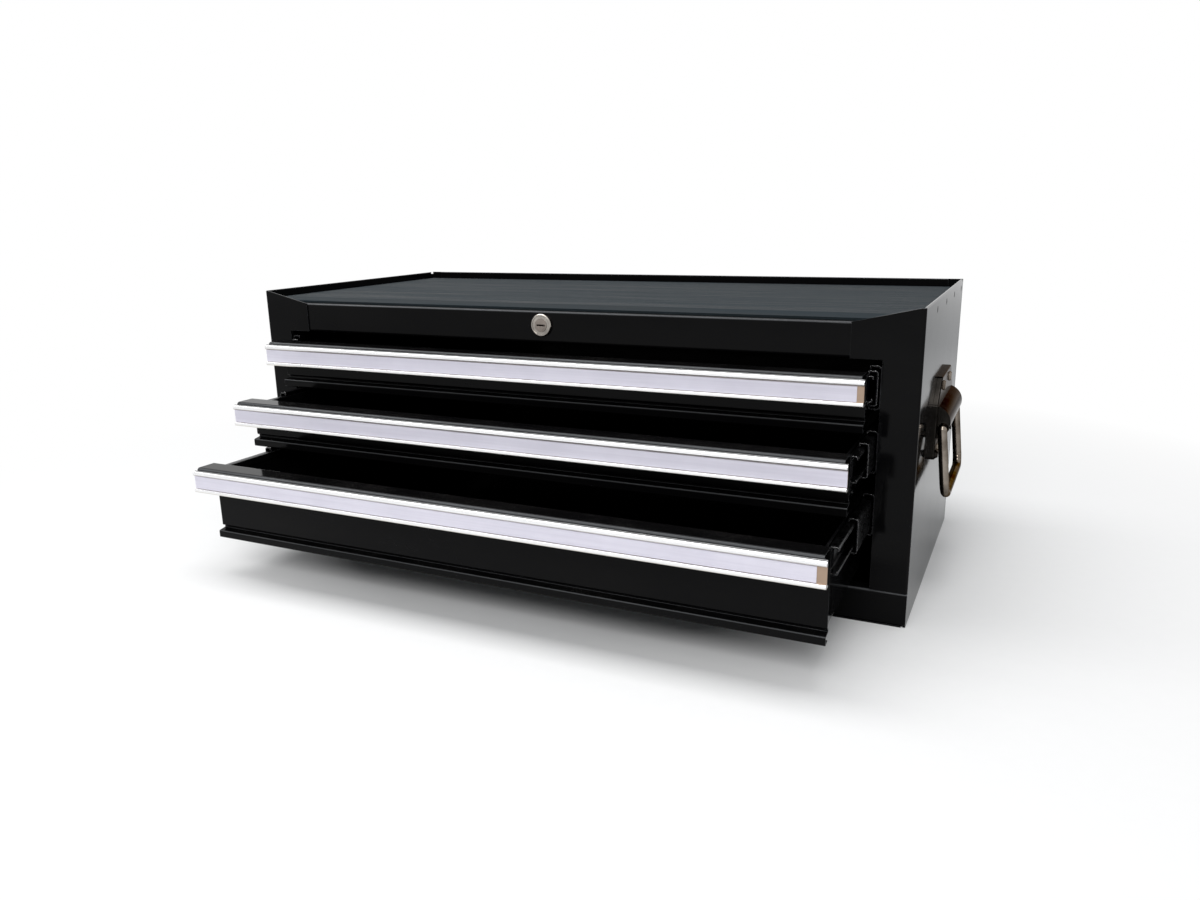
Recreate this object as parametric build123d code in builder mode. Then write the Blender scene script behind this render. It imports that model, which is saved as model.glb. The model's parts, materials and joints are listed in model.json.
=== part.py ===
from build123d import *

import os
from math import cos, radians, sin, tan

# Machinist tool chest of folded sheet steel: three drawers on ball-bearing slides,
# a keyed lock that blocks all drawers through a lifting bar, and a bail handle on
# each side. Millimetres. The origin is the centre of the underside, +X runs along
# the front, the drawers open towards -Y and +Z is up. The drawers stand part open.

# ---------------------------------------------------------------- cabinet sizes
cabinet_width = 660.0
cabinet_depth = 300.0
cabinet_sheet = 1.2
bend_radius = 1.6            # at the middle of the sheet

stile_width = 30.0           # front flange of each side panel
rear_return = 14.0
rear_corner_relief = 8.0     # the side hems stop this far before the back
rim_height = 12.0            # the front rail and the shelf lie this far below the rims
hem_height = 8.0
hem_round = 0.9
rim_notch = 6.0              # gap between the side rims and the back rim
rim_notch_depth = 2.4
gusset_reach = 55.0
top_rail_height = 28.5
bottom_rail_height = 29.5
rail_return = 12.0
pan_flange = 15.0
pan_corner_relief = 20.0
part_gap = 0.3               # between folded parts that do not touch

mat_thickness = 6.0
mat_inset = 8.0
mat_corner = 5.0
mat_edge_run = 7.0           # sloping borders along the front and the back
mat_edge_drop = 3.2

post_depth = 30.0
rear_post_inset = 6.0        # from the slides' rear ends to the rear posts

# ---------------------------------------------------------------- drawer sizes
drawer_names = ["top", "middle", "bottom"]
drawer_heights = {"top": 48.0, "middle": 48.0, "bottom": 74.0}
drawer_openings = {"top": 8.0, "middle": 57.0, "bottom": 113.0}
drawer_gap = 4.0
lowest_drawer_base = 34.8
top_drawer_space = 6.7       # from the top drawer up to the top rail
drawer_sheet = 1.0
drawer_bend = 1.5
front_side_gap = 8.0         # from the opening's side to the front's end
front_proud = 11.0           # the closed face stands this far before the stiles
front_box_depth = 10.0       # hollow front, from the face to the tray's front wall
tray_rear_space = 30.0       # behind a closed tray, for the lock bar
tray_drop = 5.0              # from the drawer's top down to the tray's rim
tray_floor_rise = 3.0        # from the front's lower lip up to the tray's floor
tray_hem = 6.0               # height of the closed hem along the tray's rim
hem_edge_round = 0.4
return_foot = 17.5           # the front's end flanges stop this far above its base
return_chamfer = 3.5
weld_flange = 11.0

top_flange_reach = 21.2      # from the face forward to the turned-down lip
top_flange_bend = 2.5
front_lip_drop = 18.0
step_height = 12.0
groove_depth = 2.5
groove_top = 10.5
groove_foot = 8.3
lower_lip_top = 6.9
lower_lip_reach = 5.0
lower_lip_tail = 2.8
small_bend = 0.8

# ---------------------------------------------------------------- pulls and labels
pull_overhang = 2.5          # past each end of the front
pull_top_drop = 2.3          # from the drawer's top down to the pull's top
pull_height = 20.7
pull_wall = 1.2
pull_bead_height = 4.8
pull_lip_height = 3.4
pull_nose_reach = 3.4        # from the drawer's lip forward to the bead and lower lip
pull_ledge = 0.9             # narrow ledge behind the bead, and the groove between them
pull_groove_width = 0.5
pull_groove_depth = 0.9
pull_bead_drop = 0.5         # from the ledge down to the bead's top
pull_bead_round = 1.8
pull_lip_round = 1.2
pull_hook = 3.0
pull_hook_height = 1.5
label_height_play = 0.3
label_thickness = 0.5
label_short_by = {"top": 5.2, "middle": 0.0, "bottom": 6.9}

# ---------------------------------------------------------------- slide sizes
slide_length = 254.0
slide_space = 12.7           # from the post to the tray's side
slide_sheet = 1.0
slide_height = 35.0
slide_front_setback = 2.0
slide_centre_drop = 16.0     # from the drawer's top to the slide's centre
outer_flange = 9.5
middle_flange = 7.8
inner_flange = 7.5
middle_web_gap = 1.2
flange_lip = 1.8             # turned-in lip along each flange
lip_bend = 0.8
ball_gap = 2.5               # between the flanges of neighbouring members
ball_play = 0.05
outer_bend = 3.0
middle_bend = 2.0
cage_sheet = 0.6
cage_bend = 1.5
cage_length = 110.0
cage_reach = 4.6
cage_ball_play = 0.15
inner_cage_gap = 0.6         # from the middle member's web to the inner cage
outer_cage_gap = 0.3
balls_per_row = 4
ball_pitch = 30.0
rivet_radius = 2.0
rivet_play = 0.05
rivet_head_radius = 4.0
rivet_head_height = 1.5

# ---------------------------------------------------------------- lock sizes
lock_rise = 1.75             # above the middle of the top rail
lock_head_radius = 10.25
lock_head_height = 3.0
lock_head_chamfer = 0.8
lock_ring_radius = 8.4
lock_ring_depth = 0.5
lock_barrel_radius = 8.0
lock_barrel_length = 20.0
plug_radius = 6.0
plug_play = 0.05
plug_proud = 0.3
plug_tail = 3.0
key_slot_width = 8.4
key_slot_height = 1.5
key_slot_depth = 9.0
nut_across_flats = 19.6
nut_thickness = 4.0
hole_play = 0.1

rod_radius = 2.5
crank_radius = 5.0
crank_half_turn = 45.0       # the crank pin turns from this far below level to as far above
crank_hub_radius = 4.0
crank_arm_thickness = 3.0
crank_pin_radius = 2.0
crank_pin_play = 0.35
bar_thickness = 2.0
bar_width = 16.0
bar_catch_space = 4.0        # from the catches' lips to the bar
bar_slot_edge = 3.0
bar_foot_height = 50.0
arm_gap = 1.0
pin_past_bar = 1.0
catch_width = 16.0
catch_drop = 8.0             # from the tray's rim down to the catch
catch_reach = 12.0
catch_sheet = 1.2
catch_lip = 7.0
tongue_lip = 7.0
tongue_rise_gap = 1.0        # between an unlocked tongue and the catch above it
tongue_play = 1.0
lower_guide_height = 60.0
upper_guide_drop = 9.5       # from the top rail's foot down to the upper guide
guide_thickness = 3.0
guide_margin = 6.0
guide_play = 0.3
guide_nose = 1.2
guide_foot = 12.0
hanger_back = 55.0           # from the rod hanger to the cabinet's back
hanger_width = 24.0
hanger_drop = 16.6
hanger_foot = 12.0
hanger_sheet = 1.5

# ---------------------------------------------------------------- side handle sizes
handle_height = 152.0        # centre of the hollow barrel
handle_sheet = 1.5
plate_depth = 4.5            # the pressed plate's face stands this far off the panel
plate_edge_round = 1.2
rivet_boss_radius = 6.0
barrel_radius = 15.0
barrel_half_length = 53.5
plate_top = 37.0             # plate edges, from the barrel's centre
plate_top_half = 36.0
plate_shoulder = 16.0
plate_half = 60.0
plate_nose_half = 62.0
plate_nose_inner = 40.0
plate_nose_foot = -32.0
plate_middle_foot = -18.0
plate_corner = 4.0
bail_wire_radius = 4.0
bail_half_length = 58.0
bail_drop = 59.0
bail_bend = 12.0
bail_lean = 6.0
bail_pivot_out = 9.0
bail_pivot_below = 5.0
bail_stub_radius = 3.0
bail_stub_play = 0.05
bail_stub_past = 2.0
bail_rest_gap = 0.3
pad_below_pivot = 22.0
pad_foot_radius = 4.0
pad_top_radius = 2.5
handle_rivet_radius = 2.4
handle_rivet_play = 0.05
handle_rivet_head = 4.6
handle_rivet_dome = 1.8
upper_rivet_half = 25.0
upper_rivet_up = 28.0
lower_rivet_half = 46.0
lower_rivet_down = 25.0

# ---------------------------------------------------------------- derived places
drawer_bases = {}
stack_height = lowest_drawer_base
for name in reversed(drawer_names):
    drawer_bases[name] = stack_height
    stack_height += drawer_heights[name] + drawer_gap
rail_foot = stack_height - drawer_gap + top_drawer_space
rail_top = rail_foot + top_rail_height
cabinet_height = rail_top + rim_height

half_width = cabinet_width / 2
front_y = -cabinet_depth / 2
rear_y = cabinet_depth / 2
inner_half_width = half_width - cabinet_sheet
opening_half = half_width - stile_width
rail_face_y = front_y + cabinet_sheet
shelf_top = rail_top - cabinet_sheet
shelf_under = shelf_top - cabinet_sheet
mat_top = shelf_top + mat_thickness
front_half = opening_half - front_side_gap
pull_length = 2 * (front_half + pull_overhang)
bend_outer = bend_radius + cabinet_sheet / 2
bend_inner = bend_radius - cabinet_sheet / 2

closed_face_y = front_y - front_proud
tray_length = rear_y - tray_rear_space - closed_face_y
tray_half = opening_half - slide_space
slide_rear_y = front_y + slide_front_setback + slide_length

front_post_y = rail_face_y + bend_inner
rear_post_y = slide_rear_y - rear_post_inset - post_depth
post_centres = [front_post_y + post_depth / 2, rear_post_y + post_depth / 2]
post_foot = cabinet_sheet + pan_flange + part_gap

lock_height = rail_foot + top_rail_height / 2 + lock_rise
guide_heights = [lower_guide_height, rail_foot - upper_guide_drop]
bar_y = rear_y - tray_rear_space + catch_reach + bar_catch_space
bar_x = -crank_radius * (1 + cos(radians(crank_half_turn))) / 2
crank_pin_x = -crank_radius * cos(radians(crank_half_turn))
crank_pin_z = lock_height - crank_radius * sin(radians(crank_half_turn))
plug_rear_y = rail_face_y + lock_barrel_length + plug_tail
crank_arm_y = bar_y - arm_gap - crank_arm_thickness

pivot_x = half_width + bail_pivot_out
pivot_z = handle_height - bail_pivot_below
pad_z = pivot_z - pad_below_pivot
lean = radians(bail_lean)
pad_reach = (
    bail_pivot_out + pad_below_pivot * tan(lean) - bail_wire_radius / cos(lean)
    - bail_rest_gap
)
handle_rivet_places = [
    (side * half, handle_height + rise)
    for side in (-1, 1)
    for half, rise in (
        (upper_rivet_half, upper_rivet_up),
        (lower_rivet_half, -lower_rivet_down),
    )
]


def face_y(drawer):
    """Front of a drawer's face where the drawer stands."""
    return closed_face_y - drawer_openings[drawer]


def drawer_top(drawer):
    return drawer_bases[drawer] + drawer_heights[drawer]


def tray_rim(drawer):
    return drawer_top(drawer) - tray_drop


def slide_centre(drawer):
    return drawer_top(drawer) - slide_centre_drop


def facing_front(y):
    """Plane across the chest at y, whose normal points to the front."""
    return Plane.XZ.offset(-y)


def span_box(x_span, y_span, z_span, mode=Mode.ADD):
    """Box between two corners, in the part that is being built."""
    centre = [sum(span) / 2 for span in (x_span, y_span, z_span)]
    lengths = [span[1] - span[0] for span in (x_span, y_span, z_span)]
    with Locations(tuple(centre)):
        Box(*lengths, mode=mode)


def write(builder, name):
    builder.part.label = name
    export_step(builder.part, f"parts/{name}.step")


os.makedirs("parts", exist_ok=True)

# ================================================================ cabinet shell
# Right side panel: outer wall, front stile with its gusset, and rear return.
with BuildPart() as side_panel_right:
    with BuildSketch(Plane.XY) as panel_plan:
        with BuildLine():
            FilletPolyline(
                (half_width - rear_return, rear_y - 1.5 * cabinet_sheet),
                (half_width - cabinet_sheet / 2, rear_y - 1.5 * cabinet_sheet),
                (half_width - cabinet_sheet / 2, front_y + cabinet_sheet / 2),
                (opening_half, front_y + cabinet_sheet / 2),
                radius=bend_radius,
            )
        trace(line_width=cabinet_sheet)
    extrude(amount=cabinet_height)
    with BuildSketch(facing_front(front_y)) as gusset_face:
        with BuildLine():
            Polyline(
                (opening_half + cabinet_sheet, rail_foot),
                (half_width - gusset_reach, rail_foot),
                (half_width - gusset_reach, rail_top),
                (opening_half + cabinet_sheet, rail_top),
                close=True,
            )
        make_face()
    extrude(amount=-cabinet_sheet)
    slope = rim_height / (gusset_reach - bend_outer)
    with BuildSketch(facing_front(front_y)) as above_slope:
        with BuildLine():
            Polyline(
                (half_width - bend_outer, cabinet_height),
                (half_width - gusset_reach, rail_top),
                (half_width - gusset_reach, cabinet_height),
                close=True,
            )
        make_face()
    extrude(amount=-cabinet_sheet, mode=Mode.SUBTRACT)
    with BuildSketch(facing_front(front_y)) as under_slope:
        with BuildLine():
            Polyline(
                (opening_half + cabinet_sheet, rail_top),
                (half_width - gusset_reach, rail_top),
                (opening_half + cabinet_sheet,
                 rail_top + slope * (gusset_reach - stile_width + cabinet_sheet)),
                close=True,
            )
        make_face()
    extrude(amount=-cabinet_sheet)
    # the stile ends on the bottom rail
    span_box(
        (opening_half - cabinet_sheet, half_width + cabinet_sheet),
        (front_y - cabinet_sheet, rail_face_y),
        (-cabinet_sheet, bottom_rail_height),
        mode=Mode.SUBTRACT,
    )
    # the rear return clears the shelf and the bottom pan
    for low, high in (
        (-cabinet_sheet, post_foot),
        (shelf_under - part_gap, cabinet_height + cabinet_sheet),
    ):
        span_box(
            (half_width - rear_return - cabinet_sheet, inner_half_width),
            (rear_y - 4 * cabinet_sheet, rear_y),
            (low, high),
            mode=Mode.SUBTRACT,
        )
    # hem along the top of the wall, and the notch before the back rim
    span_box(
        (inner_half_width - cabinet_sheet, inner_half_width),
        (rail_face_y + bend_radius, rear_y - cabinet_sheet - rear_corner_relief),
        (cabinet_height - hem_height, cabinet_height),
    )
    span_box(
        (inner_half_width - 2 * cabinet_sheet, half_width + cabinet_sheet),
        (rear_y - cabinet_sheet - rim_notch, rear_y),
        (cabinet_height - rim_notch_depth, cabinet_height + cabinet_sheet),
        mode=Mode.SUBTRACT,
    )
    rim_edges = (
        side_panel_right.edges()
        .filter_by(Axis.Y)
        .group_by(Axis.Z)[-1]
        .sort_by(Axis.X)
    )
    fillet([rim_edges[0], rim_edges[-1]], radius=hem_round)
    with BuildSketch(Plane.YZ.offset(inner_half_width)) as handle_holes:
        with Locations(*handle_rivet_places):
            Circle(handle_rivet_radius + handle_rivet_play)
    extrude(amount=cabinet_sheet, mode=Mode.SUBTRACT)
write(side_panel_right, "side_panel_right")

with BuildPart() as side_panel_left:
    mirror(side_panel_right.part, about=Plane.YZ)
write(side_panel_left, "side_panel_left")

# Back panel over the full width, with a hem along its top.
with BuildPart() as back_panel:
    span_box(
        (-half_width, half_width),
        (rear_y - cabinet_sheet, rear_y),
        (0, cabinet_height),
    )
    span_box(
        (-half_width + rear_return, half_width - rear_return),
        (rear_y - 2 * cabinet_sheet, rear_y - cabinet_sheet),
        (cabinet_height - hem_height, cabinet_height),
    )
    back_rim_edges = (
        back_panel.edges().filter_by(Axis.X).group_by(Axis.Z)[-1].sort_by(Axis.Y)
    )
    fillet([back_rim_edges[0], back_rim_edges[-1]], radius=hem_round)
write(back_panel, "back_panel")

# Bottom pan: floor with side flanges and a back flange.
with BuildPart() as bottom_panel:
    pan_flange_x = inner_half_width - cabinet_sheet / 2
    pan_front_y = rail_face_y + bend_inner
    with BuildSketch(facing_front(pan_front_y)) as pan_section:
        with BuildLine():
            FilletPolyline(
                (-pan_flange_x, cabinet_sheet + pan_flange),
                (-pan_flange_x, cabinet_sheet / 2),
                (pan_flange_x, cabinet_sheet / 2),
                (pan_flange_x, cabinet_sheet + pan_flange),
                radius=bend_radius,
            )
        trace(line_width=cabinet_sheet)
    extrude(amount=-(rear_y - cabinet_sheet - pan_front_y))
    span_box(
        (-inner_half_width + bend_outer, inner_half_width - bend_outer),
        (front_y, pan_front_y),
        (0, cabinet_sheet),
    )
    span_box(
        (-inner_half_width + pan_corner_relief, inner_half_width - pan_corner_relief),
        (rear_y - 2 * cabinet_sheet, rear_y - cabinet_sheet),
        (0, cabinet_sheet + pan_flange),
    )
write(bottom_panel, "bottom_panel")

# Front bottom rail: the stiles stand on its ends.
with BuildPart() as front_bottom_rail:
    rail_centre_y = front_y + cabinet_sheet / 2
    with BuildSketch(Plane.YZ.offset(-half_width)) as rail_section:
        with BuildLine():
            FilletPolyline(
                (front_y + rail_return, bottom_rail_height - cabinet_sheet / 2),
                (rail_centre_y, bottom_rail_height - cabinet_sheet / 2),
                (rail_centre_y, 1.5 * cabinet_sheet),
                (front_y + rail_return, 1.5 * cabinet_sheet),
                radius=bend_radius,
            )
        trace(line_width=cabinet_sheet)
    extrude(amount=cabinet_width)
    for side in (-1, 1):
        end_cut = sorted((side * (opening_half - part_gap),
                          side * (half_width + cabinet_sheet)))
        span_box(
            tuple(end_cut),
            (rail_face_y, front_y + rail_return + cabinet_sheet),
            (0, bottom_rail_height + cabinet_sheet),
            mode=Mode.SUBTRACT,
        )
write(front_bottom_rail, "front_bottom_rail")

# Front top rail: carries the lock; its top return lies on the shelf.
with BuildPart() as front_top_rail:
    top_rail_half = inner_half_width - cabinet_sheet - bend_radius
    top_rail_centre_y = rail_face_y + cabinet_sheet / 2
    with BuildSketch(Plane.YZ.offset(-top_rail_half)) as top_rail_section:
        with BuildLine():
            FilletPolyline(
                (front_y + rail_return, rail_foot + cabinet_sheet / 2),
                (top_rail_centre_y, rail_foot + cabinet_sheet / 2),
                (top_rail_centre_y, rail_top - cabinet_sheet / 2),
                (front_y + rail_return, rail_top - cabinet_sheet / 2),
                radius=bend_radius,
            )
        trace(line_width=cabinet_sheet)
    extrude(amount=2 * top_rail_half)
    with BuildSketch(facing_front(rail_face_y)) as lock_hole:
        with Locations((0, lock_height)):
            Circle(lock_barrel_radius + hole_play)
    extrude(amount=-cabinet_sheet, mode=Mode.SUBTRACT)
write(front_top_rail, "front_top_rail")

# Top shelf: recessed sheet between the rims, turned up at its sides and back.
with BuildPart() as top_shelf:
    shelf_flange_top = cabinet_height - hem_height - part_gap
    shelf_front_y = rail_face_y + bend_outer
    with BuildSketch(facing_front(shelf_front_y)) as shelf_section:
        with BuildLine():
            FilletPolyline(
                (-pan_flange_x, shelf_flange_top),
                (-pan_flange_x, shelf_top - cabinet_sheet / 2),
                (pan_flange_x, shelf_top - cabinet_sheet / 2),
                (pan_flange_x, shelf_flange_top),
                radius=bend_radius,
            )
        trace(line_width=cabinet_sheet)
    extrude(amount=-(rear_y - cabinet_sheet - shelf_front_y))
    span_box(
        (-inner_half_width + pan_corner_relief, inner_half_width - pan_corner_relief),
        (rear_y - 2 * cabinet_sheet, rear_y - cabinet_sheet),
        (shelf_under, shelf_flange_top),
    )
write(top_shelf, "top_shelf")

# Ribbed rubber mat, lying on the shelf behind the front rail's return.
with BuildPart() as top_mat:
    mat_front_y = front_y + rail_return + cabinet_sheet
    mat_rear_y = rear_y - mat_inset
    with BuildSketch(Plane.XY.offset(shelf_top)) as mat_outline:
        with Locations((0, (mat_front_y + mat_rear_y) / 2)):
            RectangleRounded(
                2 * (half_width - mat_inset), mat_rear_y - mat_front_y, mat_corner
            )
    extrude(amount=mat_thickness)
    with BuildSketch(Plane.YZ.offset(-half_width)) as mat_borders:
        for edge_y, inward in ((mat_front_y, 1), (mat_rear_y, -1)):
            with BuildLine():
                Polyline(
                    (edge_y, mat_top),
                    (edge_y, mat_top - mat_edge_drop),
                    (edge_y + inward * mat_edge_run, mat_top),
                    close=True,
                )
            make_face()
    extrude(amount=cabinet_width, mode=Mode.SUBTRACT)
write(top_mat, "top_mat")


# Posts: channels between the side panels and the slides.
def slide_post(y_start):
    """Right-hand channel post whose web faces the slides."""
    with BuildPart() as post:
        with BuildSketch(Plane.XY.offset(post_foot)) as post_plan:
            with BuildLine():
                FilletPolyline(
                    (inner_half_width, y_start + cabinet_sheet / 2),
                    (opening_half + cabinet_sheet / 2, y_start + cabinet_sheet / 2),
                    (opening_half + cabinet_sheet / 2,
                     y_start + post_depth - cabinet_sheet / 2),
                    (inner_half_width, y_start + post_depth - cabinet_sheet / 2),
                    radius=bend_radius,
                )
            trace(line_width=cabinet_sheet)
        extrude(amount=rail_foot - part_gap - post_foot)
        with BuildSketch(Plane.YZ.offset(opening_half)) as post_holes:
            with Locations(
                *[(y_start + post_depth / 2, slide_centre(d)) for d in drawer_names]
            ):
                Circle(rivet_radius + rivet_play)
        extrude(amount=cabinet_sheet, mode=Mode.SUBTRACT)
    return post


for place, start in (("front", front_post_y), ("rear", rear_post_y)):
    post_right = slide_post(start)
    write(post_right, f"{place}_post_right")
    with BuildPart() as post_left:
        mirror(post_right.part, about=Plane.YZ)
    write(post_left, f"{place}_post_left")

# ================================================================ drawer slides
outer_web_x = opening_half - slide_sheet / 2
middle_web_x = opening_half - slide_sheet - middle_web_gap - slide_sheet / 2
inner_web_x = tray_half + slide_sheet / 2
outer_half = slide_height / 2
middle_half = outer_half - slide_sheet - ball_gap
inner_half = middle_half - slide_sheet - ball_gap
slide_front_y = front_y + slide_front_setback
cage_closed_y = slide_front_y + (slide_length - cage_length) / 2


def slide_member(web_x, tip_x, half_height, bend, centre_z, shift):
    """Right-hand channel member; its lipped flanges run from the web to tip_x."""
    flange_z = half_height - slide_sheet / 2
    lip_z = half_height - slide_sheet - flange_lip
    lip_x = tip_x + slide_sheet / 2 if tip_x < web_x else tip_x - slide_sheet / 2
    with BuildPart() as member:
        with BuildSketch(facing_front(slide_front_y - shift)) as member_section:
            with BuildLine():
                FilletPolyline(
                    (lip_x, centre_z + lip_z),
                    (lip_x, centre_z + flange_z),
                    (web_x, centre_z + flange_z),
                    (web_x, centre_z - flange_z),
                    (lip_x, centre_z - flange_z),
                    (lip_x, centre_z - lip_z),
                    radius=[lip_bend, bend, bend, lip_bend],
                )
            trace(line_width=slide_sheet)
        extrude(amount=-slide_length)
    return member


def ball_cage(web_x, half_height, centre_z, shift):
    """Right-hand retainer with a row of balls in its top and in its bottom strip."""
    strip_z = half_height + ball_gap / 2
    ball_radius = ball_gap / 2 - ball_play
    ball_x = web_x - cage_reach / 2
    start_y = cage_closed_y - shift
    ball_spots = [
        start_y + cage_length / 2 + (i - (balls_per_row - 1) / 2) * ball_pitch
        for i in range(balls_per_row)
    ]
    with BuildPart() as cage:
        with BuildSketch(facing_front(start_y)) as cage_section:
            with BuildLine():
                FilletPolyline(
                    (web_x - cage_reach, centre_z + strip_z),
                    (web_x, centre_z + strip_z),
                    (web_x, centre_z - strip_z),
                    (web_x - cage_reach, centre_z - strip_z),
                    radius=cage_bend,
                )
            trace(line_width=cage_sheet)
        extrude(amount=-cage_length)
        with BuildSketch(Plane.XY.offset(centre_z)) as ball_holes:
            with Locations(*[(ball_x, y) for y in ball_spots]):
                Circle(ball_radius + cage_ball_play)
        extrude(amount=strip_z + cage_sheet, both=True, mode=Mode.SUBTRACT)
        with Locations(
            *[(ball_x, y, centre_z + s * strip_z) for y in ball_spots for s in (-1, 1)]
        ):
            Sphere(ball_radius)
    return cage


for drawer in drawer_names:
    opened = drawer_openings[drawer]
    centre = slide_centre(drawer)
    outer = slide_member(
        outer_web_x, opening_half - outer_flange, outer_half, outer_bend, centre, 0
    )
    with BuildPart() as outer_right:
        add(outer.part)
        with BuildSketch(Plane.YZ.offset(opening_half - slide_sheet)) as member_holes:
            with Locations(*[(y, centre) for y in post_centres]):
                Circle(rivet_radius + rivet_play)
        extrude(amount=slide_sheet, mode=Mode.SUBTRACT)
    middle = slide_member(
        middle_web_x,
        middle_web_x + slide_sheet / 2 - middle_flange,
        middle_half,
        middle_bend,
        centre,
        opened / 2,
    )
    inner = slide_member(
        inner_web_x, tray_half + inner_flange, inner_half, middle_bend, centre, opened
    )
    write(outer_right, f"slide_outer_{drawer}_right")
    write(middle, f"slide_middle_{drawer}_right")
    write(inner, f"slide_inner_{drawer}_right")
    for kind, right_member in (
        ("outer", outer_right), ("middle", middle), ("inner", inner)
    ):
        with BuildPart() as left_member:
            mirror(right_member.part, about=Plane.YZ)
        write(left_member, f"slide_{kind}_{drawer}_left")

    outer_cage_x = opening_half - slide_sheet - outer_cage_gap - cage_sheet / 2
    inner_cage_x = middle_web_x - slide_sheet / 2 - inner_cage_gap - cage_sheet / 2
    for kind, cage_x, half_height, share in (
        ("outer", outer_cage_x, middle_half, 0.25),
        ("inner", inner_cage_x, inner_half, 0.75),
    ):
        cage_right = ball_cage(cage_x, half_height, centre, share * opened)
        with BuildPart() as cage_pair:
            add(cage_right.part)
            mirror(cage_right.part, about=Plane.YZ)
        write(cage_pair, f"ball_cages_{kind}_{drawer}")

# Rivets that hold the outer members to the posts, head inside the post.
with BuildPart() as slide_rivets:
    for side in (-1, 1):
        web_face = side * (opening_half - slide_sheet)
        head_face = side * (opening_half + cabinet_sheet)
        spots = [(y, slide_centre(d)) for y in post_centres for d in drawer_names]
        with BuildSketch(Plane.YZ.offset(web_face)) as shanks:
            with Locations(*spots):
                Circle(rivet_radius)
        extrude(amount=side * (slide_sheet + cabinet_sheet))
        with BuildSketch(Plane.YZ.offset(head_face)) as heads:
            with Locations(*spots):
                Circle(rivet_head_radius)
        extrude(amount=side * rivet_head_height)
write(slide_rivets, "slide_rivets")


# ================================================================ drawers
def drawer_tray(drawer):
    """Folded tray with hemmed sides, front and back walls, and the lock catch."""
    face = face_y(drawer)
    floor = drawer_bases[drawer] + tray_floor_rise
    rim = tray_rim(drawer)
    wall_x = tray_half - drawer_sheet / 2
    front_wall_y = face + front_box_depth
    rear_wall_y = face + tray_length - drawer_sheet
    with BuildPart() as tray:
        with BuildSketch(facing_front(front_wall_y)) as tray_section:
            with BuildLine():
                FilletPolyline(
                    (-wall_x, rim),
                    (-wall_x, floor + drawer_sheet / 2),
                    (wall_x, floor + drawer_sheet / 2),
                    (wall_x, rim),
                    radius=drawer_bend,
                )
            trace(line_width=drawer_sheet)
        extrude(amount=-(tray_length - front_box_depth))
        wall_z = (floor + drawer_sheet / 2, rim)
        wall_span = (-wall_x, wall_x)
        hem_z = (rim - tray_hem, rim)
        span_box(wall_span, (front_wall_y, front_wall_y + drawer_sheet), wall_z)
        span_box(wall_span, (rear_wall_y, rear_wall_y + drawer_sheet), wall_z)
        span_box(wall_span, (rear_wall_y - drawer_sheet, rear_wall_y), hem_z)
        for side in (-1, 1):
            hem_x = sorted((side * (tray_half - drawer_sheet),
                            side * (tray_half - 2 * drawer_sheet)))
            span_box(tuple(hem_x), (front_wall_y, rear_wall_y), hem_z)
        rim_lines = tray.edges().filter_by(Axis.Y).group_by(Axis.Z)[-1]
        fillet(rim_lines, radius=hem_edge_round)
        span_box(
            (-wall_x + drawer_bend, wall_x - drawer_bend),
            (face + drawer_sheet, front_wall_y),
            (rim - drawer_sheet, rim),
        )
        catch_top = rim - catch_drop
        catch_span = (bar_x - catch_width / 2, bar_x + catch_width / 2)
        catch_y = (rear_wall_y + drawer_sheet, rear_wall_y + drawer_sheet + catch_reach)
        span_box(catch_span, catch_y, (catch_top - catch_sheet, catch_top))
        span_box(
            catch_span,
            (catch_y[1] - catch_sheet, catch_y[1]),
            (catch_top - catch_sheet - catch_lip, catch_top - catch_sheet),
        )
    return tray


def drawer_front(drawer):
    """Face sheet: grooved lower lip, face, top flange, and end flanges."""
    face = face_y(drawer)
    base = drawer_bases[drawer]
    top = drawer_top(drawer)
    half_sheet = drawer_sheet / 2
    lip_y = face - top_flange_reach + half_sheet
    section_points = [
        (lip_y, top - front_lip_drop),
        (lip_y, top - half_sheet),
        (face + half_sheet, top - half_sheet),
        (face + half_sheet, base + step_height),
        (face + half_sheet + groove_depth, base + groove_top),
        (face + half_sheet + groove_depth, base + groove_foot),
        (face - lower_lip_reach + half_sheet, base + lower_lip_top),
        (face - lower_lip_reach + half_sheet, base + half_sheet),
        (face + drawer_sheet, base + lower_lip_tail - half_sheet),
    ]
    bends = [top_flange_bend] * 2 + [small_bend] * (len(section_points) - 4)
    with BuildPart() as front:
        with BuildSketch(Plane.YZ.offset(-front_half)) as front_section:
            with BuildLine():
                FilletPolyline(*section_points, radius=bends)
            trace(line_width=drawer_sheet)
        extrude(amount=2 * front_half)
        for side in (-1, 1):
            outside = side * front_half
            with BuildSketch(Plane.YZ.offset(outside)) as end_flange:
                with BuildLine():
                    Polyline(
                        (face + half_sheet, base + return_foot - return_chamfer),
                        (face + front_box_depth, base + return_foot),
                        (face + front_box_depth, top - tray_drop),
                        (face + half_sheet, top - drawer_sheet),
                        close=True,
                    )
                make_face()
            extrude(amount=-side * drawer_sheet)
            weld_x = sorted((outside, outside - side * weld_flange))
            span_box(
                tuple(weld_x),
                (face + front_box_depth - drawer_sheet, face + front_box_depth),
                (base + return_foot, top - tray_drop - drawer_sheet),
            )
    return front


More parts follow.
